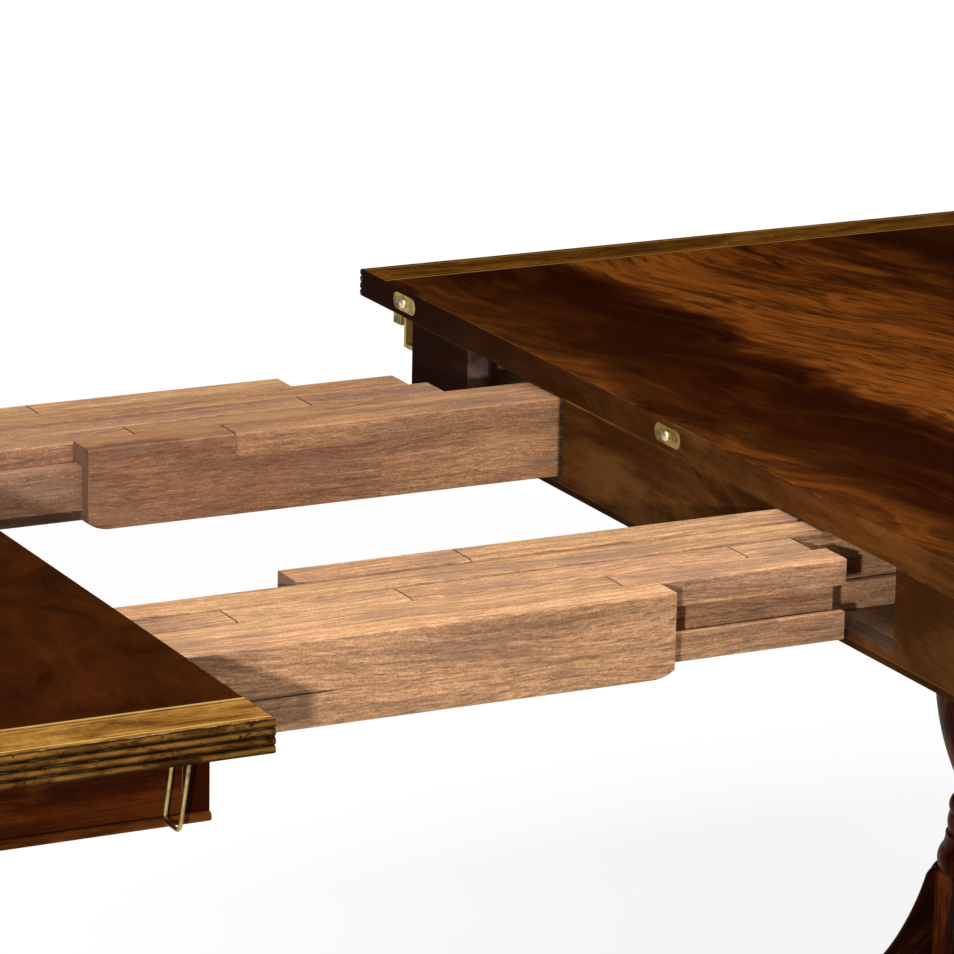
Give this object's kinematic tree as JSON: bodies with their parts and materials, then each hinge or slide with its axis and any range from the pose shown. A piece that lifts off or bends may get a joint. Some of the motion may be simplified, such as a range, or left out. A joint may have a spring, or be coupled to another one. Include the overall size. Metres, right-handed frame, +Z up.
{
  "type": "extending dining table",
  "caption": "Twin pedestal extending dining table, pulled open on telescoping wooden slides, with reeded top edges, turned columns, sabre legs and brass castors.",
  "frame": {"origin": "on the floor, under the middle of the opening between the two halves at rest", "axes": "+X along the table towards the half with the brass tongues, +Y across it, +Z up"},
  "size_m": [2.48, 1.22, 0.77],
  "materials": {
    "top_veneer": "polished flame mahogany veneer with a golden crossband",
    "reeded_lipping": "polished mahogany, worn golden on the reeds",
    "apron_mahogany": "polished dark mahogany",
    "turned_mahogany": "glossy turned dark mahogany",
    "slide_hardwood": "waxed laminated hardwood",
    "secondary_wood": "plain sawn hardwood",
    "aged_brass": "aged polished brass",
    "castor_brass": "worn turned brass",
    "screw_steel": "dull steel"
  },
  "bodies": {
    "left_half": {"left_top_panel": "top_veneer", "left_reeded_edge": "reeded_lipping", "left_joint_apron": "apron_mahogany", "left_near_apron": "apron_mahogany", "left_far_apron": "apron_mahogany", "left_end_apron": "apron_mahogany", "left_apron_bead": "apron_mahogany", "left_corner_blocks": "secondary_wood", "left_battens": "secondary_wood", "left_pedestal_plate": "secondary_wood", "left_column": "turned_mahogany", "left_legs": "turned_mahogany", "left_toe_caps": "aged_brass", "left_fixing_screws": "screw_steel", "near_slide_a": "slide_hardwood", "far_slide_a": "slide_hardwood", "leaf_sockets": "aged_brass", "bail_brackets": "aged_brass"},
    "right_half": {"right_top_panel": "top_veneer", "right_reeded_edge": "reeded_lipping", "right_joint_apron": "apron_mahogany", "right_near_apron": "apron_mahogany", "right_far_apron": "apron_mahogany", "right_end_apron": "apron_mahogany", "right_apron_bead": "apron_mahogany", "right_corner_blocks": "secondary_wood", "right_battens": "secondary_wood", "right_pedestal_plate": "secondary_wood", "right_column": "turned_mahogany", "right_legs": "turned_mahogany", "right_toe_caps": "aged_brass", "right_fixing_screws": "screw_steel", "near_slide_e": "slide_hardwood", "far_slide_e": "slide_hardwood", "leaf_tongues": "aged_brass", "keepers": "aged_brass"},
    "near_slide_b": {"near_slide_b": "slide_hardwood"},
    "near_slide_c": {"near_slide_c": "slide_hardwood"},
    "near_slide_d": {"near_slide_d": "slide_hardwood"},
    "far_slide_b": {"far_slide_b": "slide_hardwood"},
    "far_slide_c": {"far_slide_c": "slide_hardwood"},
    "far_slide_d": {"far_slide_d": "slide_hardwood"},
    "near_bail": {"near_bail": "aged_brass"},
    "far_bail": {"far_bail": "aged_brass"},
    "left_castor_1": {"left_castor_fork_1": "aged_brass"},
    "left_castor_wheel_1_body": {"left_castor_wheel_1": "castor_brass"},
    "left_castor_2": {"left_castor_fork_2": "aged_brass"},
    "left_castor_wheel_2_body": {"left_castor_wheel_2": "castor_brass"},
    "left_castor_3": {"left_castor_fork_3": "aged_brass"},
    "left_castor_wheel_3_body": {"left_castor_wheel_3": "castor_brass"},
    "left_castor_4": {"left_castor_fork_4": "aged_brass"},
    "left_castor_wheel_4_body": {"left_castor_wheel_4": "castor_brass"},
    "right_castor_1": {"right_castor_fork_1": "aged_brass"},
    "right_castor_wheel_1_body": {"right_castor_wheel_1": "castor_brass"},
    "right_castor_2": {"right_castor_fork_2": "aged_brass"},
    "right_castor_wheel_2_body": {"right_castor_wheel_2": "castor_brass"},
    "right_castor_3": {"right_castor_fork_3": "aged_brass"},
    "right_castor_wheel_3_body": {"right_castor_wheel_3": "castor_brass"},
    "right_castor_4": {"right_castor_fork_4": "aged_brass"},
    "right_castor_wheel_4_body": {"right_castor_wheel_4": "castor_brass"}
  },
  "joints": [
    {"name": "extension", "type": "slide", "parent": "left_half", "child": "right_half", "axis": [1, 0, 0], "range_m": [-0.6496, 0.57]},
    {"name": "near_slide_b_run", "type": "slide", "parent": "left_half", "child": "near_slide_b", "axis": [1, 0, 0], "range_m": [-0.1634, 0.1435]},
    {"name": "near_slide_c_run", "type": "slide", "parent": "left_half", "child": "near_slide_c", "axis": [1, 0, 0], "range_m": [-0.3258, 0.286]},
    {"name": "near_slide_d_run", "type": "slide", "parent": "left_half", "child": "near_slide_d", "axis": [1, 0, 0], "range_m": [-0.4882, 0.4285]},
    {"name": "far_slide_b_run", "type": "slide", "parent": "left_half", "child": "far_slide_b", "axis": [1, 0, 0], "range_m": [-0.1634, 0.1435]},
    {"name": "far_slide_c_run", "type": "slide", "parent": "left_half", "child": "far_slide_c", "axis": [1, 0, 0], "range_m": [-0.3258, 0.286]},
    {"name": "far_slide_d_run", "type": "slide", "parent": "left_half", "child": "far_slide_d", "axis": [1, 0, 0], "range_m": [-0.4882, 0.4285]},
    {"name": "near_bail_swing", "type": "hinge", "parent": "left_half", "child": "near_bail", "pos_m": [-0.36, -0.528, 0.737], "axis": [0, -1, 0], "range_deg": [-80, 97.5]},
    {"name": "far_bail_swing", "type": "hinge", "parent": "left_half", "child": "far_bail", "pos_m": [-0.36, 0.528, 0.737], "axis": [0, -1, 0], "range_deg": [-80, 97.5]},
    {"name": "left_castor_1_swivel", "type": "hinge", "parent": "left_half", "child": "left_castor_1", "pos_m": [-0.93734, -0.26234, 0.045], "axis": [0, 0, 1], "continuous": true},
    {"name": "left_castor_wheel_1_roll", "type": "hinge", "parent": "left_castor_1", "child": "left_castor_wheel_1_body", "pos_m": [-0.94512, -0.27011, 0.019], "axis": [-0.7071, 0.7071, 0], "continuous": true},
    {"name": "left_castor_2_swivel", "type": "hinge", "parent": "left_half", "child": "left_castor_2", "pos_m": [-0.41266, -0.26234, 0.045], "axis": [0, 0, 1], "continuous": true},
    {"name": "left_castor_wheel_2_roll", "type": "hinge", "parent": "left_castor_2", "child": "left_castor_wheel_2_body", "pos_m": [-0.40488, -0.27011, 0.019], "axis": [-0.7071, -0.7071, 0], "continuous": true},
    {"name": "left_castor_3_swivel", "type": "hinge", "parent": "left_half", "child": "left_castor_3", "pos_m": [-0.41266, 0.26234, 0.045], "axis": [0, 0, 1], "continuous": true},
    {"name": "left_castor_wheel_3_roll", "type": "hinge", "parent": "left_castor_3", "child": "left_castor_wheel_3_body", "pos_m": [-0.40488, 0.27011, 0.019], "axis": [0.7071, -0.7071, 0], "continuous": true},
    {"name": "left_castor_4_swivel", "type": "hinge", "parent": "left_half", "child": "left_castor_4", "pos_m": [-0.93734, 0.26234, 0.045], "axis": [0, 0, 1], "continuous": true},
    {"name": "left_castor_wheel_4_roll", "type": "hinge", "parent": "left_castor_4", "child": "left_castor_wheel_4_body", "pos_m": [-0.94512, 0.27011, 0.019], "axis": [0.7071, 0.7071, 0], "continuous": true},
    {"name": "right_castor_1_swivel", "type": "hinge", "parent": "right_half", "child": "right_castor_1", "pos_m": [0.93734, 0.26234, 0.045], "axis": [0, 0, 1], "continuous": true},
    {"name": "right_castor_wheel_1_roll", "type": "hinge", "parent": "right_castor_1", "child": "right_castor_wheel_1_body", "pos_m": [0.94512, 0.27011, 0.019], "axis": [-0.7071, 0.7071, 0], "continuous": true},
    {"name": "right_castor_2_swivel", "type": "hinge", "parent": "right_half", "child": "right_castor_2", "pos_m": [0.41266, 0.26234, 0.045], "axis": [0, 0, 1], "continuous": true},
    {"name": "right_castor_wheel_2_roll", "type": "hinge", "parent": "right_castor_2", "child": "right_castor_wheel_2_body", "pos_m": [0.40488, 0.27011, 0.019], "axis": [-0.7071, -0.7071, 0], "continuous": true},
    {"name": "right_castor_3_swivel", "type": "hinge", "parent": "right_half", "child": "right_castor_3", "pos_m": [0.41266, -0.26234, 0.045], "axis": [0, 0, 1], "continuous": true},
    {"name": "right_castor_wheel_3_roll", "type": "hinge", "parent": "right_castor_3", "child": "right_castor_wheel_3_body", "pos_m": [0.40488, -0.27011, 0.019], "axis": [0.7071, -0.7071, 0], "continuous": true},
    {"name": "right_castor_4_swivel", "type": "hinge", "parent": "right_half", "child": "right_castor_4", "pos_m": [0.93734, -0.26234, 0.045], "axis": [0, 0, 1], "continuous": true},
    {"name": "right_castor_wheel_4_roll", "type": "hinge", "parent": "right_castor_4", "child": "right_castor_wheel_4_body", "pos_m": [0.94512, -0.27011, 0.019], "axis": [0.7071, 0.7071, 0], "continuous": true}
  ],
  "couplings": [
    {"joint": "near_slide_b_run", "follows": "extension", "ratio": 0.25},
    {"joint": "near_slide_c_run", "follows": "extension", "ratio": 0.5},
    {"joint": "near_slide_d_run", "follows": "extension", "ratio": 0.75},
    {"joint": "far_slide_b_run", "follows": "extension", "ratio": 0.25},
    {"joint": "far_slide_c_run", "follows": "extension", "ratio": 0.5},
    {"joint": "far_slide_d_run", "follows": "extension", "ratio": 0.75}
  ]
}
